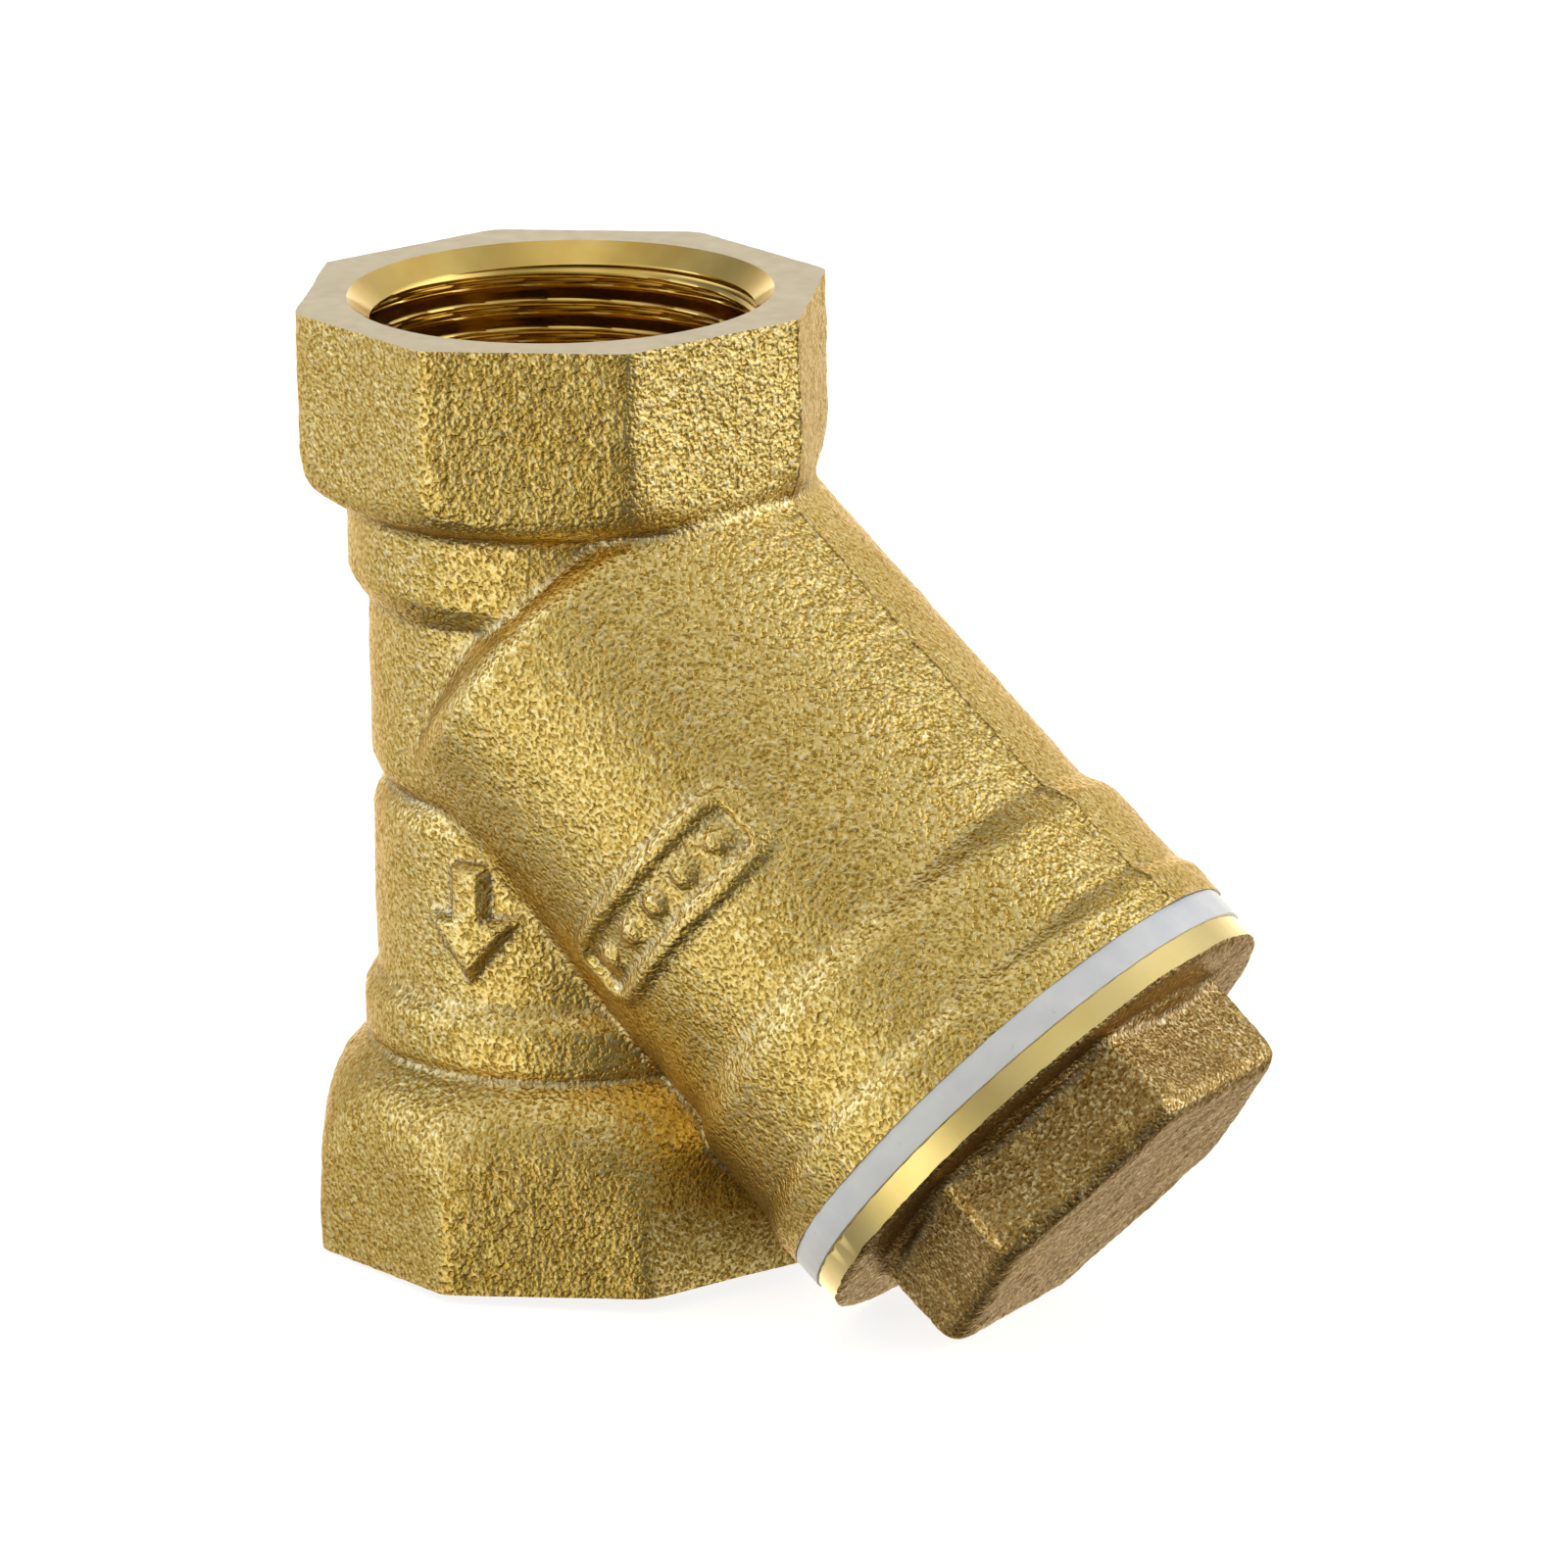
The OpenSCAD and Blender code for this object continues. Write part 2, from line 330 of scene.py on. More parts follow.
def surface_net(distance, low, high, step):
    """Closed quad mesh of distance = 0: a vertex in every crossed cell, a quad round every crossed edge."""
    axes = [np.arange(a, b + step, step, dtype=np.float32) for a, b in zip(low, high)]
    field = distance(*np.meshgrid(*axes, indexing="ij"))
    inside = field < 0
    shape = np.array(field.shape) - 1
    count = np.zeros(shape.prod())
    total = np.zeros((3, shape.prod()))
    around = []
    for axis in range(3):
        u, v = (axis + 1) % 3, (axis + 2) % 3
        first = [slice(None)] * 3
        last = [slice(None)] * 3
        first[axis], last[axis] = slice(None, -1), slice(1, None)
        edge = np.argwhere(inside[tuple(first)] != inside[tuple(last)])
        a = field[tuple(edge.T)]
        step_on = np.eye(3, dtype=int)[axis]
        b = field[tuple((edge + step_on).T)]
        where = edge.astype(float)
        where[:, axis] += a / (a - b)
        corners = []
        for du, dv in ((-1, -1), (0, -1), (0, 0), (-1, 0)):
            cell = edge.copy()
            cell[:, u] += du
            cell[:, v] += dv
            flat = np.ravel_multi_index(tuple(cell.T), tuple(shape))
            corners.append(flat)
            count += np.bincount(flat, minlength=shape.prod())
            for k in range(3):
                total[k] += np.bincount(flat, weights=where[:, k], minlength=shape.prod())
        quads = np.stack(corners, 1)
        quads[a > 0] = quads[a > 0][:, ::-1]
        around.append(quads)
    used = np.flatnonzero(count)
    number = np.full(shape.prod(), -1)
    number[used] = np.arange(len(used))
    points = (total[:, used] / count[used]).T * step + np.array(low)
    points = settle(distance, points)
    return points, number[np.concatenate(around)]


def slope_of(distance, points):
    eps = 0.04
    grad = np.empty_like(points)
    for k in range(3):
        shift = np.zeros(3)
        shift[k] = eps
        grad[:, k] = distance(*(points + shift).T) - distance(*(points - shift).T)
    return grad / (2 * eps)


def settle(distance, points, rounds=2):
    """Moves points onto the surface."""
    for _ in range(rounds):
        grad = slope_of(distance, points)
        size = np.maximum((grad ** 2).sum(1), 0.2)
        points = points - grad * (distance(*points.T) / size)[:, None]
    return points


def waves(points, length, amount):
    """Smooth random height at each point, about length from crest to crest, amount high."""
    height = np.zeros(len(points))
    for _ in range(amount):
        direction = rng.normal(size=3)
        direction /= np.linalg.norm(direction)
        phase = points @ direction * TURN / (length * rng.uniform(0.7, 1.4)) + rng.uniform(0, TURN)
        height += np.sin(phase)
    return height / math.sqrt(amount)


def roughen(distance, points, heights):
    """Pushes points along the surface's normal by the given heights."""
    grad = slope_of(distance, points)
    grad /= np.linalg.norm(grad, axis=1)[:, None]
    return points + grad * heights[:, None]


def write_mesh(name, points, faces, materials=(), indices=None):
    """A Blender object from points in millimetres and a list or array of faces."""
    mesh = bpy.data.meshes.new(name)
    if isinstance(faces, np.ndarray):
        mesh.vertices.add(len(points))
        mesh.vertices.foreach_set("co", (np.asarray(points) * MM).astype(np.float32).ravel())
        mesh.loops.add(faces.size)
        mesh.loops.foreach_set("vertex_index", faces.astype(np.int32).ravel())
        mesh.polygons.add(len(faces))
        mesh.polygons.foreach_set("loop_start", np.arange(0, faces.size, faces.shape[1], dtype=np.int32))
    else:
        mesh.from_pydata((np.asarray(points) * MM).tolist(), [], faces)
    for material in materials:
        mesh.materials.append(material)
    if indices is not None:
        mesh.polygons.foreach_set("material_index", np.asarray(indices, dtype=np.int32))
    mesh.update(calc_edges=True)
    mesh.validate()
    obj = bpy.data.objects.new(name, mesh)
    bpy.context.scene.collection.objects.link(obj)
    return obj


def lathe(rows, around):
    """Closed solid from rows of (radius, height, material); radius and height may vary round the axis."""
    angle = np.arange(around) * TURN / around
    points, faces, indices = [], [], []
    for radius, height, _ in rows:
        r = np.broadcast_to(radius, (around,))
        h = np.broadcast_to(height, (around,))
        points.append(np.stack([r * np.cos(angle), r * np.sin(angle), h], 1))
    points = np.concatenate(points)
    for k in range(len(rows) - 1):
        for i in range(around):
            j = (i + 1) % around
            faces.append((k * around + i, k * around + j, (k + 1) * around + j, (k + 1) * around + i))
            indices.append(rows[k + 1][2])
    last = (len(rows) - 1) * around
    faces.append(tuple(range(around))[::-1])
    indices.append(rows[0][2])
    faces.append(tuple(last + i for i in range(around)))
    indices.append(rows[-1][2])
    return points, faces, indices


def ring(section, around, wobble=None):
    """Closed ring from a closed section of (radius, height) points, given anticlockwise."""
    section = np.array(section, float)
    angle = np.arange(around) * TURN / around
    count = len(section)
    radius = np.repeat(section[None, :, 0], around, 0)
    height = np.repeat(section[None, :, 1], around, 0)
    if wobble is not None:
        radius = radius + wobble
    points = np.stack([radius * np.cos(angle)[:, None], radius * np.sin(angle)[:, None], height], 2)
    i, k = np.meshgrid(np.arange(around), np.arange(count), indexing="ij")
    j, m = (i + 1) % around, (k + 1) % count
    faces = np.stack([i * count + k, j * count + k, j * count + m, i * count + m], 2)
    return points.reshape(-1, 3), faces.reshape(-1, 4)


def to_world(points):
    """Points in the branch's own frame as world points."""
    points = np.asarray(points)
    return CROSS + points[:, :1] * DOWN + points[:, 1:2] * SIDE + points[:, 2:] * OUT


def combine(target, tool, operation):
    """Applies a boolean and throws the tool away."""
    modifier = target.modifiers.new("step", "BOOLEAN")
    modifier.operation = operation
    modifier.solver = "MANIFOLD"
    modifier.object = tool
    with bpy.context.temp_override(object=target):
        bpy.ops.object.modifier_apply(modifier=modifier.name)
    bpy.data.objects.remove(tool)


def smooth(obj, degrees=32):
    obj.data.polygons.foreach_set("use_smooth", [True] * len(obj.data.polygons))
    obj.data.set_sharp_from_angle(angle=math.radians(degrees))
    obj.data.update()


# ---------------------------------------------------------------- threads


def thread_form():
    """One turn of a thread, from 0 at its foot to 1 at its top, with straight flanks and rounded ends."""
    count, reach = 240, 30
    half_crest, flank, rounding = 0.06, 0.36, 0.035
    turn = (np.arange(count) + 0.5) / count
    form = np.clip((np.abs(turn - 0.5) - half_crest) / flank, 0, 1)
    kernel = np.exp(-0.5 * (np.arange(-reach, reach + 1) / count / rounding) ** 2)
    rounded = np.convolve(np.tile(form, 3), kernel / kernel.sum(), mode="same")
    return turn, 1 - rounded[count:2 * count]


THREAD_TURN, THREAD_FORM = thread_form()
ROWS_PER_PITCH = 18


def thread_rows(start, end, pitch, minor, depth, around, material, fade_start, fade_end, cone=None):
    """Rows of a right-handed thread between two heights, which fades out at either end.

    cone, if given, says how wide the countersink is at a height.
    """
    count = int(round((end - start) / pitch * ROWS_PER_PITCH))
    angle = np.arange(around) * TURN / around
    rows = []
    for k in range(count + 1):
        height = start + (end - start) * k / count
        fade = min(1.0, (height - start) / fade_start if fade_start else 1.0,
                   (end - height) / fade_end if fade_end else 1.0)
        wave = np.interp(height / pitch - angle / TURN, THREAD_TURN, THREAD_FORM, period=1.0)
        radius = minor + depth * fade * wave
        if cone is not None:
            radius = np.maximum(radius, cone(height))
        rows.append((radius, height, material))
    return rows


CAST, FACED, CUT = 0, 1, 2     # material slots of the body: as cast, faced, and cut bright
BODY_VOXEL = 0.37
CAP_VOXEL = 0.3
POLE = 0.01                    # radius at which a lathed tool closes on its axis
PORT_FACING_R = 27.0
BRANCH_FACING_R = 24.5
CAP_FACING_R = 26


def port_cutter(around=224):
    """What is machined out of one port, and the disc that faces it, standing on the inlet's centre line."""
    top = LENGTH
    rows = [(POLE, top - THREAD_DEPTH - 0.6, CUT), (PASSAGE_R - 0.3, top - THREAD_DEPTH - 0.6, CUT),
            (BORE_R, top - THREAD_DEPTH, CUT)]
    clear = 1.5                    # how far down the countersink stays clear of the thread
    rows += thread_rows(top - THREAD_DEPTH + 0.2, top - clear, PIPE_PITCH, BORE_R, PIPE_THREAD, around, CUT,
                        2 * PIPE_PITCH, 0.8, cone=lambda height: COUNTERSINK_R + height - top)
    rows += [(COUNTERSINK_R - clear + 0.03, top - clear + 0.03, CUT), (COUNTERSINK_R, top, CUT),
             (PORT_FACING_R, top, FACED), (PORT_FACING_R, top + 3, CAST), (POLE, top + 3, CAST)]
    return lathe(rows, around)


def branch_cutter(around=192):
    """What is machined along the branch: the screen's seat, the thread, and the gasket face."""
    mouth = GASKET_START
    minor = CAP_MINOR_R + CAP_PLAY
    idle = 14.0                    # inside the cast cavity, where the tool cuts nothing
    rows = [(POLE, SEAT_AT, CUT), (SEAT_R, SEAT_AT, CUT), (SEAT_R, CAVITY_AT + 0.6, CUT), (idle, 10, CUT),
            (idle, 40, CUT), (minor, BRANCH_THREAD_AT, CUT)]
    rows += thread_rows(BRANCH_THREAD_AT + 0.2, mouth - 0.9, CAP_PITCH, minor, CAP_THREAD, around, CUT,
                        CAP_PITCH, 0)
    rows += [(minor + CAP_THREAD, mouth - 0.8, CUT), (18.4, mouth, CUT), (BRANCH_FACING_R, mouth, FACED),
             (BRANCH_FACING_R, mouth + 3, CAST), (POLE, mouth + 3, CAST)]
    points, faces, indices = lathe(rows, around)
    return to_world(points), faces, indices


def build_body(materials):
    low, high = (-24.2, -24.4, -3.0), (56.6, 24.6, 80.2)       # a box round the whole casting
    points, quads = surface_net(casting, low, high, BODY_VOXEL)
    heights = 0.035 * waves(points, 9.0, 24)
    heights += 0.018 * waves(points, 3.0, 30)
    heights += 0.025 * waves(points, 1.1, 40)
    points = roughen(casting, points, heights)
    body = write_mesh("cast_body", points, quads, materials)
    points, faces, indices = port_cutter()
    combine(body, write_mesh("inlet_cutter", points, faces, materials, indices), "DIFFERENCE")
    flipped = points * np.array([1, -1, -1]) + np.array([0, 0, LENGTH])
    combine(body, write_mesh("outlet_cutter", flipped, faces, materials, indices), "DIFFERENCE")
    points, faces, indices = branch_cutter()
    combine(body, write_mesh("branch_cutter", points, faces, materials, indices), "DIFFERENCE")
    smooth(body)
    return body


def ragged(around, size, coarsest=20, finest=70):
    """A small random height round a circle, for an edge that was left with its burr."""
    angle = np.arange(around) * TURN / around
    height = np.zeros(around)
    for count in range(coarsest, finest):
        height += rng.normal() * np.sin(count * angle + rng.uniform(0, TURN))
    return size * height / math.sqrt(finest - coarsest)


def build_cap(materials):
    """A forging, turned to a flange and a thread, with the screen's pocket bored out."""
    reach = FLANGE_R + 1.5
    low, high = (-reach, -reach, CAP_START - 2), (reach, reach, CAP_END + 1)
    points, quads = surface_net(cap_forging, low, high, CAP_VOXEL)
    heights = 0.035 * waves(points, 5.0, 24) + 0.02 * waves(points, 1.8, 30) + 0.02 * waves(points, 0.9, 30)
    points = roughen(cap_forging, points, heights)
    cap = write_mesh("screw_cap", to_world(points), quads, materials)
    around = 256
    flange_face = GASKET_END + FLANGE_T
    undercut_r = CAP_MINOR_R - 0.5
    rows = [(POLE, CAP_START, CUT), (CAP_MINOR_R - 0.3, CAP_START, CUT), (CAP_MINOR_R, CAP_START + 0.3, CUT)]
    rows += thread_rows(CAP_START + 0.4, GASKET_END - 1.8, CAP_PITCH, CAP_MINOR_R, CAP_THREAD, around, CUT,
                        1.0, 0.8)
    rows += [(undercut_r, GASKET_END - 1.5, CUT), (undercut_r, GASKET_END, CUT),
             (FLANGE_R - 0.1 + ragged(around, 0.03), GASKET_END, CUT),
             (FLANGE_R, GASKET_END + 0.1 + ragged(around, 0.035), CUT),
             (FLANGE_R, flange_face + 2, CUT), (CAP_FACING_R, flange_face + 2, CUT),
             (CAP_FACING_R, CAP_END + 2, CAST), (POLE, CAP_END + 2, CAST)]
    points, faces, indices = lathe(rows, around)
    combine(cap, write_mesh("turned_envelope", to_world(points), faces, materials, indices), "INTERSECT")
    bottom = CAP_START + POCKET_L
    lead_in = POCKET_R + 0.3
    rows = [(POLE, CAP_START - 1, CUT), (lead_in, CAP_START - 1, CUT), (lead_in, CAP_START, CUT),
            (POCKET_R, CAP_START + 0.4, CUT), (POCKET_R, bottom, CUT), (HOLLOW_R, bottom, CUT),
            (HOLLOW_R, CAP_END - HOLLOW_FLOOR, CUT), (POLE, CAP_END - HOLLOW_FLOOR + 1.2, CUT)]
    points, faces, indices = lathe(rows, around)
    combine(cap, write_mesh("pocket_cutter", to_world(points), faces, materials, indices), "DIFFERENCE")
    smooth(cap)
    return cap


def build_gasket(material):
    """A flat ring, a little squeezed out past its faces."""
    inner = CAP_MINOR_R + CAP_THREAD + 0.2
    rounding = 0.06
    squeeze = 0.17                 # how far the ring stands out past the size it was cut to
    section = []
    thick = GASKET_END - GASKET_START
    middle = (GASKET_START + GASKET_END) / 2
    for corner_r, corner_h, start in ((GASKET_R, GASKET_START, -90), (GASKET_R, GASKET_END, 0),
                                  (inner, GASKET_END, 90), (inner, GASKET_START, 180)):
        sign_r = 1 if corner_r > inner else -1
        sign_h = 1 if corner_h > middle else -1
        for turn in (0, 22.5, 45, 67.5, 90):
            a = math.radians(start + turn)
            section.append((corner_r - sign_r * rounding + rounding * math.cos(a),
                            corner_h - sign_h * rounding + rounding * math.sin(a)))
    around = 384
    angle = np.arange(around) * TURN / around
    edge = squeeze + 0.05 * np.sin(5 * angle + 0.6) + 0.03 * np.sin(11 * angle + 2.0)
    edge = edge + ragged(around, 0.02, 20, 60)
    outer = np.array([r > inner + thick / 2 for r, _ in section])
    points, faces = ring(section, around, edge[:, None] * outer[None, :])
    gasket = write_mesh("gasket_ring", to_world(points), faces, [material])
    smooth(gasket, 60)
    return gasket


SHEET_BORDER = 3.0
HOLE_R = 0.55


def build_sheet(material, columns=52, rows=26):
    """The rolled sheet: staggered rows of round holes between two plain borders, as one closed skin."""
    low, high = SCREEN_START + RIM_T, SCREEN_END - RIM_T
    field_low, field_high = low + SHEET_BORDER, high - SHEET_BORDER
    cell_h = (field_high - field_low) / rows
    outer, inner = SHEET_R, SHEET_R - SHEET_T
    cell_w = TURN / columns
    cell_edge = [(-0.5, -0.5), (-0.25, -0.5), (0, -0.5), (0.25, -0.5), (0.5, -0.5), (0.5, 0), (0.5, 0.5),
                 (0.25, 0.5), (0, 0.5), (-0.25, 0.5), (-0.5, 0.5), (-0.5, 0)]
    corners = len(cell_edge)
    keys, flat = {}, []

    def vertex(a, h):
        """Number of the vertex at an angle and a height, which neighbouring cells share."""
        key = (round(a * 8 / cell_w) % (8 * columns), round(h / cell_h * 8))
        if key not in keys:
            keys[key] = len(flat)
            flat.append((a, h))
        return keys[key]

    faces, rings = [], []
    for row in range(rows):
        for column in range(columns):
            a0 = (column + (row % 2) / 2) * cell_w
            h0 = field_low + (row + 0.5) * cell_h
            edge = [vertex(a0 + u * cell_w, h0 + v * cell_h) for u, v in cell_edge]
            bore = []
            for u, v in cell_edge:
                turn = math.atan2(v * cell_h, u * cell_w * outer)
                flat.append((a0 + HOLE_R * math.cos(turn) / outer, h0 + HOLE_R * math.sin(turn)))
                bore.append(len(flat) - 1)
            for i in range(corners):
                j = (i + 1) % corners
                faces.append((edge[i], edge[j], bore[j], bore[i]))
            rings.append(bore)
    loops = []
    for h, from_h in ((low, field_low), (high, field_high)):
        quarter = [vertex(i * cell_w / 4, from_h) for i in range(4 * columns)]
        end = []
        for i in range(4 * columns):
            flat.append((i * cell_w / 4, h))
            end.append(len(flat) - 1)
        for i in range(4 * columns):
            j = (i + 1) % (4 * columns)
            if h < from_h:
                faces.append((end[i], end[j], quarter[j], quarter[i]))
            else:
                faces.append((quarter[i], quarter[j], end[j], end[i]))
        loops.append(end if h < from_h else end[::-1])
    flat = np.array(flat)
    count = len(flat)
    points = []
    for r in (outer, inner):
        points.append(np.stack([r * np.cos(flat[:, 0]), r * np.sin(flat[:, 0]), flat[:, 1]], 1))
    every = list(faces)
    every += [tuple(count + v for v in face[::-1]) for face in faces]
    for bore in rings:
        for i in range(corners):
            j = (i + 1) % corners
            every.append((bore[i], bore[j], bore[j] + count, bore[i] + count))
    for end in loops:
        for i, v in enumerate(end):
            w = end[(i + 1) % len(end)]
            every.append((w, v, v + count, w + count))
    sheet = write_mesh("perforated_sheet", to_world(np.concatenate(points)), every, [material])
    smooth(sheet, 40)
    return sheet


def build_seam(material):
    """The sheet's lapped edge, a plain strip along the screen with a row of spot welds."""
    low, high = SCREEN_START + SHEET_BORDER, SCREEN_END - SHEET_BORDER
    across, along = 17, 240
    half_angle, middle_angle = 0.12, 2.4
    spot_gap = 4.6
    a = np.linspace(-half_angle, half_angle, across)
    h = np.linspace(low, high, along)
    aa, hh = np.meshgrid(a, h, indexing="ij")
    lap, chamfer, spot_depth = 0.26, 0.12, 0.14
    outer = SHEET_R + lap - chamfer * smooth_step(0.09, half_angle, np.abs(aa))
    for spot in np.arange(low + 2.5, high - 1.5, spot_gap):
        dent = np.hypot(aa * SHEET_R, hh - spot)
        outer = outer - spot_depth * smooth_step(0.75, 0.3, dent)
    points = []
    for r in (outer, np.full_like(outer, SHEET_R + 0.02)):
        turn = aa + middle_angle
        points.append(np.stack([r * np.cos(turn), r * np.sin(turn), hh], 2).reshape(-1, 3))
    number = np.arange(across * along).reshape(across, along)
    top = np.stack([number[:-1, :-1], number[1:, :-1], number[1:, 1:], number[:-1, 1:]], 2).reshape(-1, 4)
    base = top[:, ::-1] + across * along
    edge = np.concatenate([number[:, 0], number[-1, 1:], number[-2::-1, -1], number[0, -2:0:-1]])
    after = np.roll(edge, -1)
    wall = np.stack([after, edge, edge + across * along, after + across * along], 1)
    faces = np.concatenate([top, base, wall])
    seam = write_mesh("screen_seam", to_world(np.concatenate(points)), faces, [material])
    smooth(seam, 50)
    return seam


RIM_GAP = 0.02
RIM_L = 2.6


def build_rim(name, start, direction, material):
    """A steel rim folded over one end of the sheet, with a round bend at the fold."""
    out_r, in_r = RIM_R, SHEET_R - SHEET_T - RIM_T
    gap_out, gap_in = SHEET_R + RIM_GAP, SHEET_R - SHEET_T - RIM_GAP
    length = RIM_L
    middle, half = (out_r + in_r) / 2, (out_r - in_r) / 2
    section = []
    for turn in range(180, 361, 15):
        a = math.radians(turn)
        section.append((middle + half * math.cos(a), RIM_T + RIM_T * math.sin(a)))
    section += [(out_r, length - 0.1), (out_r - 0.1, length), (gap_out + 0.05, length),
                (gap_out, length - 0.05), (gap_out, RIM_T), (gap_in, RIM_T), (gap_in, length - 0.05),
                (gap_in - 0.05, length), (in_r + 0.1, length), (in_r, length - 0.1)]
    if direction < 0:
        section = [(r, -h) for r, h in section[::-1]]
    points, faces = ring([(r, start + h) for r, h in section], 192)
    rim = write_mesh(name, to_world(points), faces, [material])
    smooth(rim, 40)
    return rim


# ---------------------------------------------------------------- materials


class Nodes:
    """A short way to write a node tree: each call makes one node and returns its first output."""

    def __init__(self, name):
        self.material = bpy.data.materials.new(name)
        self.material.use_nodes = True
        self.tree = self.material.node_tree
        self.shader = self.tree.nodes["Principled BSDF"]
        self.place = self.node("ShaderNodeTexCoord").outputs["Object"]

    def node(self, kind, inputs=None, **settings):
        made = self.tree.nodes.new(kind)
        for key, value in settings.items():
            setattr(made, key, value)
        for key, value in (inputs or {}).items():
            if isinstance(value, bpy.types.NodeSocket):
                self.tree.links.new(value, made.inputs[key])
            else:
                made.inputs[key].default_value = value
        return made

    def noise(self, size_mm, detail=2.0, roughness=0.5, distortion=0.0, place=None, **settings):
        made = self.node("ShaderNodeTexNoise", {
            "Vector": place or self.place, "Scale": 1 / (size_mm * MM), "Detail": detail,
            "Roughness": roughness, "Distortion": distortion}, **settings)
        return made.outputs["Fac"]

    def ramp(self, value, stops):
        made = self.node("ShaderNodeValToRGB", {"Fac": value})
        ramp = made.color_ramp
        while len(ramp.elements) < len(stops):
            ramp.elements.new(0.5)
        for element, (at, colour) in zip(ramp.elements, stops):
            element.position = at
            element.color = (*colour, 1) if isinstance(colour, tuple) else (colour, colour, colour, 1)
        return made.outputs["Color"]

    def math(self, operation, a, b=0.0, c=0.0):
        return self.node("ShaderNodeMath", {0: a, 1: b, 2: c}, operation=operation).outputs[0]

    def mix(self, factor, a, b, blend="MIX"):
        made = self.node("ShaderNodeMix", data_type="RGBA", blend_type=blend)
        for number, value in ((0, factor), (6, a), (7, b)):     # factor and colours A and B
            socket = made.inputs[number]
            if isinstance(value, bpy.types.NodeSocket):
                self.tree.links.new(value, socket)
            else:
                socket.default_value = (*value, 1) if isinstance(value, tuple) else value
        return made.outputs[2]

    def bump(self, height, depth_mm, strength=1.0, normal=None):
        made = self.node("ShaderNodeBump", {
            "Height": height, "Distance": depth_mm * MM, "Strength": strength})
        if normal is not None:
            self.tree.links.new(normal, made.inputs["Normal"])
        return made.outputs["Normal"]

    def finish(self, **inputs):
        for key, value in inputs.items():
            socket = self.shader.inputs[key.replace("_", " ")]
            if isinstance(value, bpy.types.NodeSocket):
                self.tree.links.new(value, socket)
            elif isinstance(value, tuple):
                socket.default_value = (*value, 1)
            else:
                socket.default_value = value
        return self.material


def blasted_brass(name, light, dark, stain, grain_mm, depth_mm, roughness, parting_and_low_shade=False):
    """Sand-cast brass after shot blasting: a worm-like grain that sparkles, deeper in colour in its pits, with
    painted highlights on its crests and painted shade in its creases; when the parting line is asked for, it also
    gets painted shade that darkens it towards the bottom.
    """
    n = Nodes(name)
    fine = n.noise(grain_mm, detail=0.6, roughness=0.5, distortion=0.4)
    ridge = n.math("SUBTRACT", 1.0, n.math("ABSOLUTE", n.math("MULTIPLY_ADD", fine, 4.0, -2.0)))
    coarse = n.noise(grain_mm * 2.2, detail=1.0)
    height = n.math("MULTIPLY_ADD", ridge, 0.12, n.math("MULTIPLY_ADD", coarse, 0.5, fine))
    normal = n.bump(height, depth_mm)
    patch = n.ramp(n.noise(7.0, detail=4.0, roughness=0.6), [(0.3, 0.0), (0.72, 1.0)])
    colour = n.mix(patch, dark, light)
    blotch = n.ramp(n.noise(1.8, detail=5.0, roughness=0.7), [(0.60, 0.0), (0.80, 0.5)])
    colour = n.mix(blotch, colour, stain)
    tint = n.ramp(fine, [(0.32, (0.66, 0.56, 0.34)), (0.53, (1.0, 1.0, 1.0))])
    colour = n.mix(1.0, colour, tint, "MULTIPLY")
    # painted highlight: the grain's crests are lightened towards pale gold, as glints
    crest_glint = n.ramp(fine, [(0.57, 0.0), (0.70, 0.7)])
    colour = n.mix(crest_glint, colour, (1.0, 0.87, 0.55))
    edge = n.node("ShaderNodeNewGeometry").outputs["Pointiness"]
    # painted shade: creases, found by their low pointiness, are darkened towards grey-brown in place of real
    # occlusion
    crease_shade = n.ramp(edge, [(0.45, 0.6), (0.497, 0.0)])
    colour = n.mix(crease_shade, colour, (0.38, 0.36, 0.32))
    worn = n.ramp(edge, [(0.515, 0.0), (0.56, 0.55)])
    colour = n.mix(worn, colour, (0.86, 0.64, 0.27))
    if parting_and_low_shade:
        across = n.node("ShaderNodeSeparateXYZ", {"Vector": n.place}).outputs["Y"]
        drift = n.math("MULTIPLY_ADD", n.noise(1.2, detail=2.0), 0.5 * MM, -0.25 * MM)
        line = n.math("MULTIPLY", n.math("ADD", across, drift), 1 / (0.13 * MM))
        line = n.math("EXPONENT", n.math("MULTIPLY", n.math("MULTIPLY", line, line), -1.0))
        broken = n.ramp(n.noise(1.3, detail=3.0, roughness=0.7), [(0.40, 0.1), (0.50, 0.9)])
        colour = n.mix(n.math("MULTIPLY", line, broken), colour, (0.17, 0.10, 0.03))
        cross, _, rise = n.node("ShaderNodeSeparateXYZ", {"Vector": n.place}).outputs
        # painted shade: the colour is darkened towards the bottom of the body, most at the outlet's far side,
        # where the table sends back less light
        low = n.math("MULTIPLY", n.math("MULTIPLY_ADD", cross, 0.6, rise), 1 / (24 * MM))
        foot = n.ramp(low, [(0.30, (0.83, 0.79, 0.68)), (0.95, (1.0, 1.0, 1.0))])
        colour = n.mix(1.0, colour, foot, "MULTIPLY")
    rough = n.math("MULTIPLY_ADD", fine, -0.16, roughness + 0.08)
    return n.finish(Base_Color=colour, Metallic=1.0, Roughness=rough, Normal=normal,
                    Specular_Tint=(0.68, 0.61, 0.54))


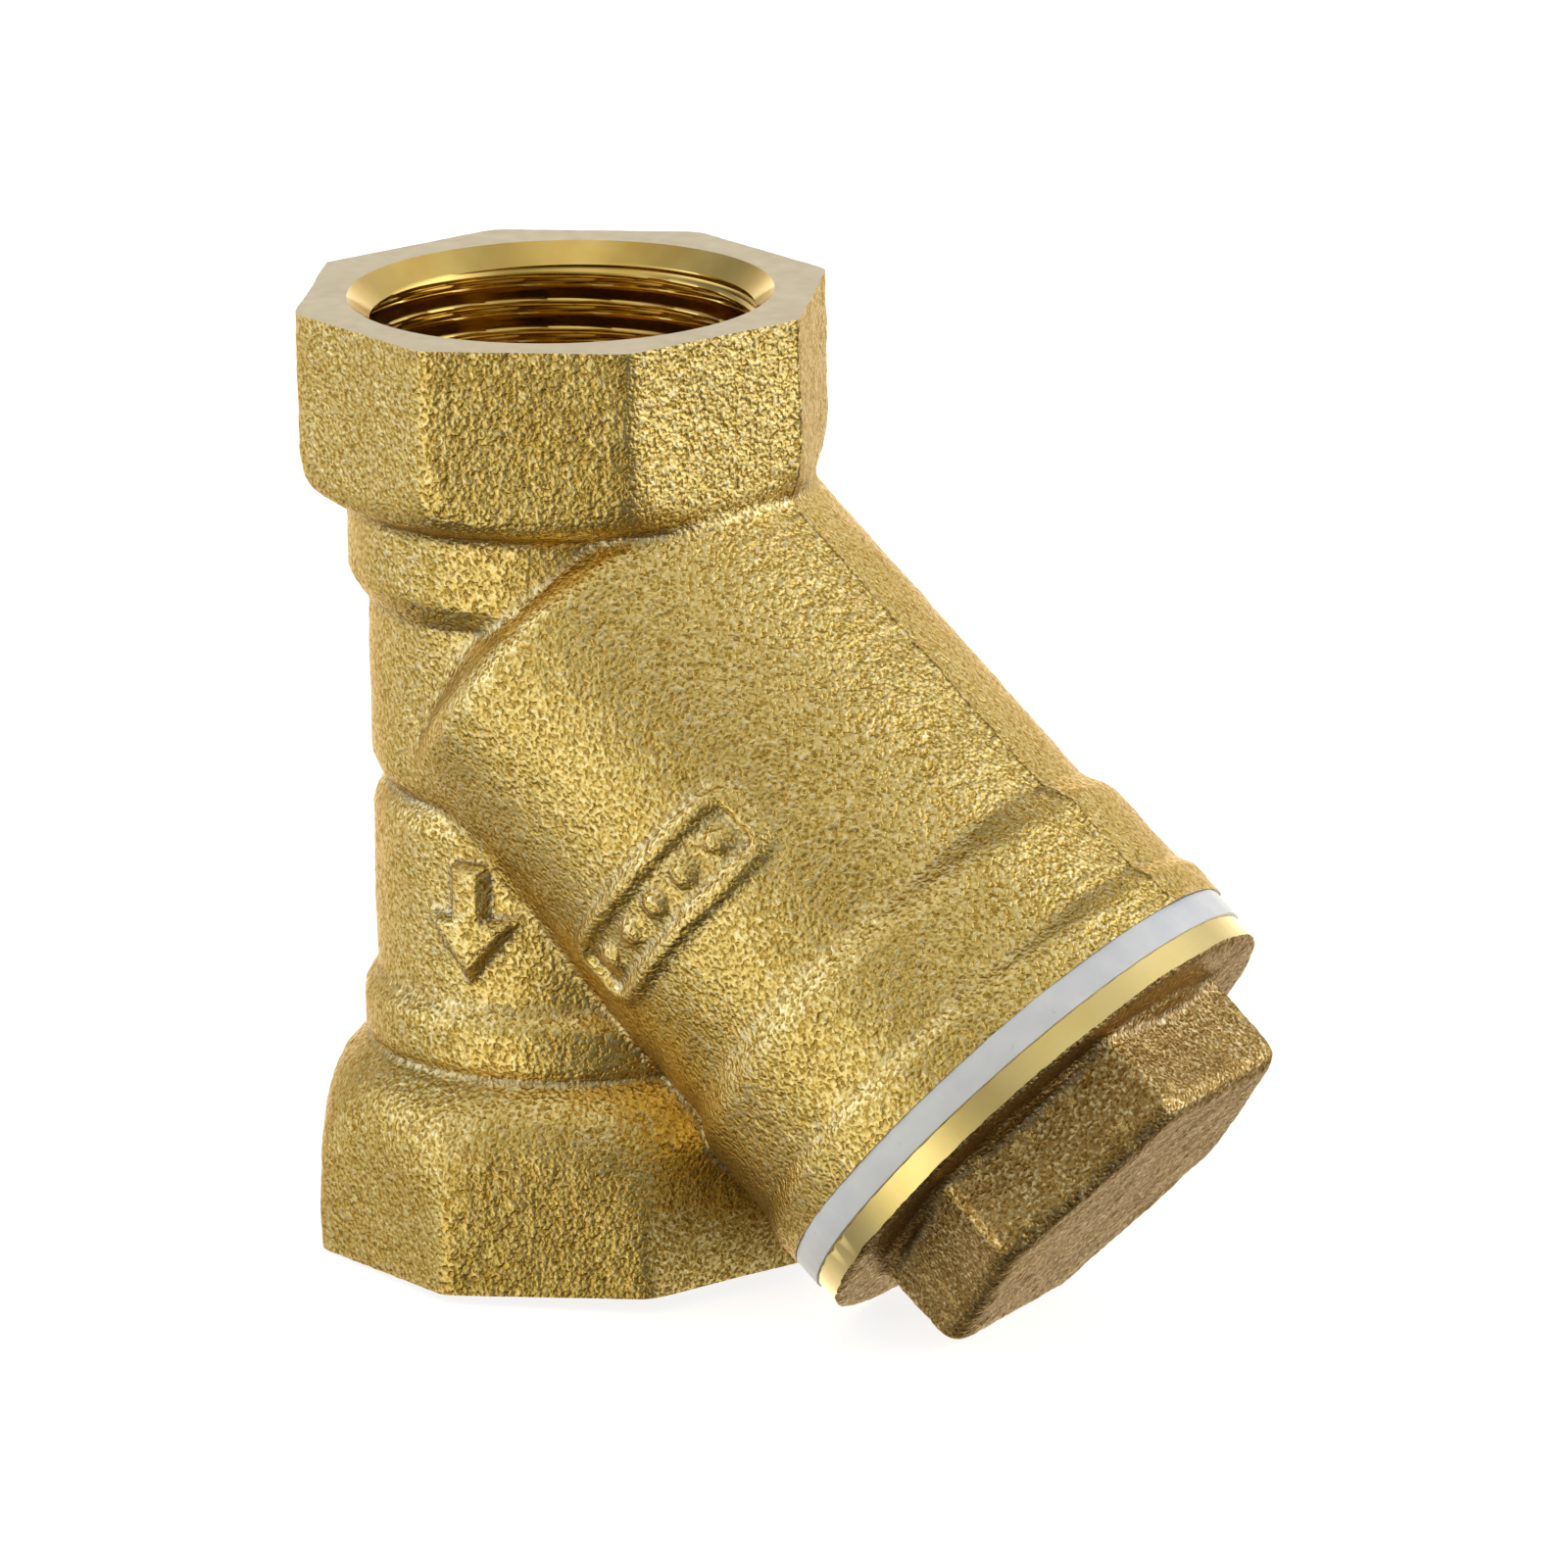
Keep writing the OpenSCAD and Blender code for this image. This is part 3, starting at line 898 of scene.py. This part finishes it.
def turned_metal(name, light, dark, roughness, axis_out, lines_mm=0.05, depth_mm=0.004):
    """Machined metal with the fine rings that a tool leaves, round the run or round the branch."""
    n = Nodes(name)
    middle = CROSS * MM if axis_out else np.zeros(3)
    axis = OUT if axis_out else np.array([0.0, 0.0, 1.0])

    def vector(operation, output, *values):
        return n.node("ShaderNodeVectorMath", dict(enumerate(values)), operation=operation).outputs[output]

    local = vector("SUBTRACT", 0, n.place, tuple(middle))
    along = vector("DOT_PRODUCT", "Value", local, tuple(axis))
    length = vector("LENGTH", "Value", local)
    square = n.math("SUBTRACT", n.math("MULTIPLY", length, length), n.math("MULTIPLY", along, along))
    radius = n.math("SQRT", square)
    across = n.math("ADD", radius, n.math("MULTIPLY", along, 1.3))
    place = n.node("ShaderNodeCombineXYZ", {"X": across}).outputs[0]
    lines = n.noise(lines_mm, detail=2.0, place=place)
    bands = n.noise(lines_mm * 14, detail=2.0, place=place)
    height = n.math("ADD", lines, n.math("MULTIPLY", bands, 0.7))
    normal = n.bump(height, depth_mm)
    scuff = n.bump(n.noise(0.35, detail=4.0, roughness=0.7), depth_mm * 1.5, 0.6, normal)
    cloud = n.ramp(n.noise(5.0, detail=4.0), [(0.35, 0.0), (0.7, 1.0)])
    colour = n.mix(cloud, dark, light)
    rough = n.math("ADD", n.math("MULTIPLY", n.noise(1.4, detail=4.0), 0.12), roughness - 0.06)
    return n.finish(Base_Color=colour, Metallic=1.0, Roughness=rough, Normal=scuff)


def ptfe(name):
    n = Nodes(name)
    cloud = n.ramp(n.noise(3.0, detail=3.0), [(0.35, (0.82, 0.83, 0.93)), (0.7, (0.91, 0.92, 1.0))])
    speck = n.ramp(n.noise(0.9, detail=3.0), [(0.68, 0.0), (0.74, 0.5)])
    colour = n.mix(speck, cloud, (0.55, 0.53, 0.50))
    normal = n.bump(n.noise(0.25, detail=4.0, roughness=0.6), 0.012)
    rough = n.math("MULTIPLY_ADD", n.noise(1.2), 0.12, 0.36)
    return n.finish(Base_Color=colour, Roughness=rough, Normal=normal, Subsurface_Weight=0.12,
                    Subsurface_Scale=0.0008)


def stainless(name):
    n = Nodes(name)
    stretched = n.node("ShaderNodeMapping", {"Vector": n.place, "Scale": (1.0, 1.0, 6.0)}).outputs[0]
    lines = n.noise(0.3, detail=3.0, place=stretched)
    cloud = n.ramp(n.noise(4.0, detail=3.0), [(0.3, 0.0), (0.7, 1.0)])
    colour = n.mix(cloud, (0.50, 0.50, 0.51), (0.66, 0.66, 0.67))
    normal = n.bump(lines, 0.006)
    rough = n.math("MULTIPLY_ADD", n.noise(1.0), 0.14, 0.2)
    return n.finish(Base_Color=colour, Metallic=1.0, Roughness=rough, Normal=normal)


# ---------------------------------------------------------------- pieces

brass_cast = blasted_brass("brass_as_cast", (0.86, 0.65, 0.235), (0.75, 0.54, 0.165), (0.55, 0.42, 0.30),
                           0.34, 0.185, 0.28, parting_and_low_shade=True)
brass_faced = turned_metal("brass_faced", (0.30, 0.248, 0.162), (0.265, 0.214, 0.134), 0.34, False)
brass_bore = turned_metal("brass_bore", (0.80, 0.58, 0.19), (0.66, 0.44, 0.12), 0.13, False, depth_mm=0.0006)
brass_forged = blasted_brass("brass_forged", (0.55, 0.375, 0.145), (0.40, 0.255, 0.092), (0.30, 0.20, 0.10),
                             0.31, 0.16, 0.30)
brass_rim = turned_metal("brass_rim", (0.98, 0.80, 0.38), (0.92, 0.72, 0.30), 0.2, True)
white_ptfe = ptfe("ptfe_white")
steel = stainless("stainless_sheet")



def add_piece(piece, body_name, slot, *nodes):
    """Puts a piece on a body of the frame, in place of the CAD nodes that it stands for."""
    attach(piece, body_name)
    if nodes:
        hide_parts(*nodes)


add_piece(build_body([brass_cast, brass_faced, brass_bore]), "body", "cast_brass", "body")
add_piece(build_cap([brass_forged, brass_rim, brass_rim]), "cap", "turned_brass", "cap")
add_piece(build_gasket(white_ptfe), "gasket", "ptfe", "gasket")
add_piece(build_sheet(steel), "screen", "stainless", "screen_sheet")
add_piece(build_seam(steel), "screen", "stainless")
add_piece(build_rim("upper_rim", SCREEN_START, 1, steel), "screen", "stainless", "screen_upper_rim")
add_piece(build_rim("lower_rim", SCREEN_END, -1, steel), "screen", "stainless", "screen_lower_rim")

# ---------------------------------------------------------------- floor, light and camera


FLOOR_GLOW = 0.84       # what the floor shines with by itself, so that it comes out white
FLOOR_HALF = 4.0        # metres


def floor_plane():
    """The table. The strainer stands on the outlet octagon's far edge and on the cap's lowest flat."""
    edge_rounding = 0.8
    low = to_world([(HEX_APOTHEM, 0, CAP_END - edge_rounding)])[0]
    lean = math.atan2(-low[2], low[0] + OCTAGON_APOTHEM)
    half = FLOOR_HALF
    corners = [(-half, -half, 0), (half, -half, 0), (half, half, 0), (-half, half, 0)]
    mesh = bpy.data.meshes.new("floor")
    mesh.from_pydata(corners, [], [(0, 1, 2, 3)])
    plane = bpy.data.objects.new("floor", mesh)
    bpy.context.scene.collection.objects.link(plane)
    plane.matrix_world = Matrix.Translation((-OCTAGON_APOTHEM * MM, 0, 0)) @ Matrix.Rotation(lean, 4, "Y")
    plane.visible_diffuse = plane.visible_glossy = plane.visible_shadow = False
    n = Nodes("floor_white")
    mesh.materials.append(n.finish(Base_Color=(0.5, 0.5, 0.5), Roughness=0.8, Specular_IOR_Level=0.0,
                                   Emission_Color=(1, 1, 1), Emission_Strength=FLOOR_GLOW))
    return plane


# The gasket's body only slides, so the table stays under the cap when the cap is drawn out.
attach(floor_plane(), "gasket")

CAMERA_AZIMUTH = 30.26
CAMERA_ELEVATION = 15.82
CAMERA_ROLL = -1.14
CAMERA_DISTANCE = 1.201
CAMERA_LENS = 346.0
CAMERA_AIM = (0.01687, 0.00115, 0.035)     # right, up, and height on the run's centre line


def photo_camera():
    """Makes the camera, and returns the direction from the strainer towards it."""
    azimuth, elevation, roll = (math.radians(a) for a in (CAMERA_AZIMUTH, CAMERA_ELEVATION, CAMERA_ROLL))
    back = Vector((math.sin(azimuth) * math.cos(elevation), -math.cos(azimuth) * math.cos(elevation),
                   math.sin(elevation)))
    right = Vector((math.cos(azimuth), math.sin(azimuth), 0))
    up = back.cross(right)
    aim = Vector((0, 0, CAMERA_AIM[2])) + right * CAMERA_AIM[0] + up * CAMERA_AIM[1]
    place = aim + back * CAMERA_DISTANCE
    right, up = math.cos(roll) * right + math.sin(roll) * up, math.cos(roll) * up - math.sin(roll) * right
    camera = bpy.data.objects.new("camera", bpy.data.cameras.new("camera"))
    camera.data.lens = CAMERA_LENS
    camera.data.sensor_width = 36
    camera.data.clip_end = 20
    camera.matrix_world = Matrix.Translation(place) @ Matrix((right, up, back)).transposed().to_4x4()
    bpy.context.scene.collection.objects.link(camera)
    bpy.context.scene.camera = camera
    return back


# The light tent, as soft patches of brightness. Each is: degrees to the right of the camera, degrees above
# the horizon, how sharply it falls off, strength, and colour. Those below the horizon stand for the light
# that the table throws back.
PATCHES = [
    (0, 15, 8, 0.10, (1.00, 0.85, 0.60)),
    (90, 15, 5, 2.15, (1.00, 1.01, 0.96)),
    (180, 15, 8, 1.43, (1.00, 0.97, 0.87)),
    (270, 15, 8, 1.34, (1.00, 1.10, 1.26)),
    (0, 50, 8, 0.50, (1.00, 1.00, 0.82)),
    (300, 50, 8, 0.48, (1.00, 0.98, 0.90)),
    (180, -20, 8, 1.64, (1.00, 0.90, 0.66)),
    (225, -20, 8, 0.67, (1.00, 0.94, 0.82)),
    (315, -20, 8, 1.34, (1.00, 0.94, 0.66)),
    (45, -40, 8, 0.10, (1.00, 0.88, 0.62)),
    (0, 80, 12, 0.45, (1.00, 0.97, 0.88)),
]


def studio_world(toward_camera):
    """White to the camera; everything else is lit by the patches."""
    world = bpy.data.worlds.new("studio")
    bpy.context.scene.world = world
    world.use_nodes = True
    tree = world.node_tree
    tree.nodes.clear()

    def add(kind, operation, *values):
        node = tree.nodes.new(kind)
        node.operation = operation
        for at, value in values:
            if isinstance(value, bpy.types.NodeSocket):
                tree.links.new(value, node.inputs[at])
            else:
                node.inputs[at].default_value = value
        return node

    direction = tree.nodes.new("ShaderNodeTexCoord").outputs["Generated"]
    facing = math.atan2(toward_camera.y, toward_camera.x)
    total = None
    for across, above, focus, strength, colour in PATCHES:
        turn, rise = facing + math.radians(across), math.radians(above)
        axis = (math.cos(turn) * math.cos(rise), math.sin(turn) * math.cos(rise), math.sin(rise))
        aligned = add("ShaderNodeVectorMath", "DOT_PRODUCT", (0, direction), (1, axis)).outputs["Value"]
        falling = add("ShaderNodeMath", "MULTIPLY_ADD", (0, aligned), (1, focus), (2, -focus)).outputs[0]
        bright = add("ShaderNodeMath", "EXPONENT", (0, falling)).outputs[0]
        tinted = [strength * c for c in colour]
        patch = add("ShaderNodeVectorMath", "SCALE", (0, tinted), (3, bright)).outputs["Vector"]
        if total is not None:
            patch = add("ShaderNodeVectorMath", "ADD", (0, total), (1, patch)).outputs["Vector"]
        total = patch
    lit = tree.nodes.new("ShaderNodeBackground")
    tree.links.new(total, lit.inputs["Color"])
    seen = tree.nodes.new("ShaderNodeBackground")
    seen.inputs["Color"].default_value = (1, 1, 1, 1)
    path = tree.nodes.new("ShaderNodeLightPath")
    mix = tree.nodes.new("ShaderNodeMixShader")
    tree.links.new(path.outputs["Is Camera Ray"], mix.inputs[0])
    tree.links.new(lit.outputs[0], mix.inputs[1])
    tree.links.new(seen.outputs[0], mix.inputs[2])
    output = tree.nodes.new("ShaderNodeOutputWorld")
    tree.links.new(mix.outputs[0], output.inputs["Surface"])


studio_world(photo_camera())
bpy.context.scene.view_settings.view_transform = "Standard"
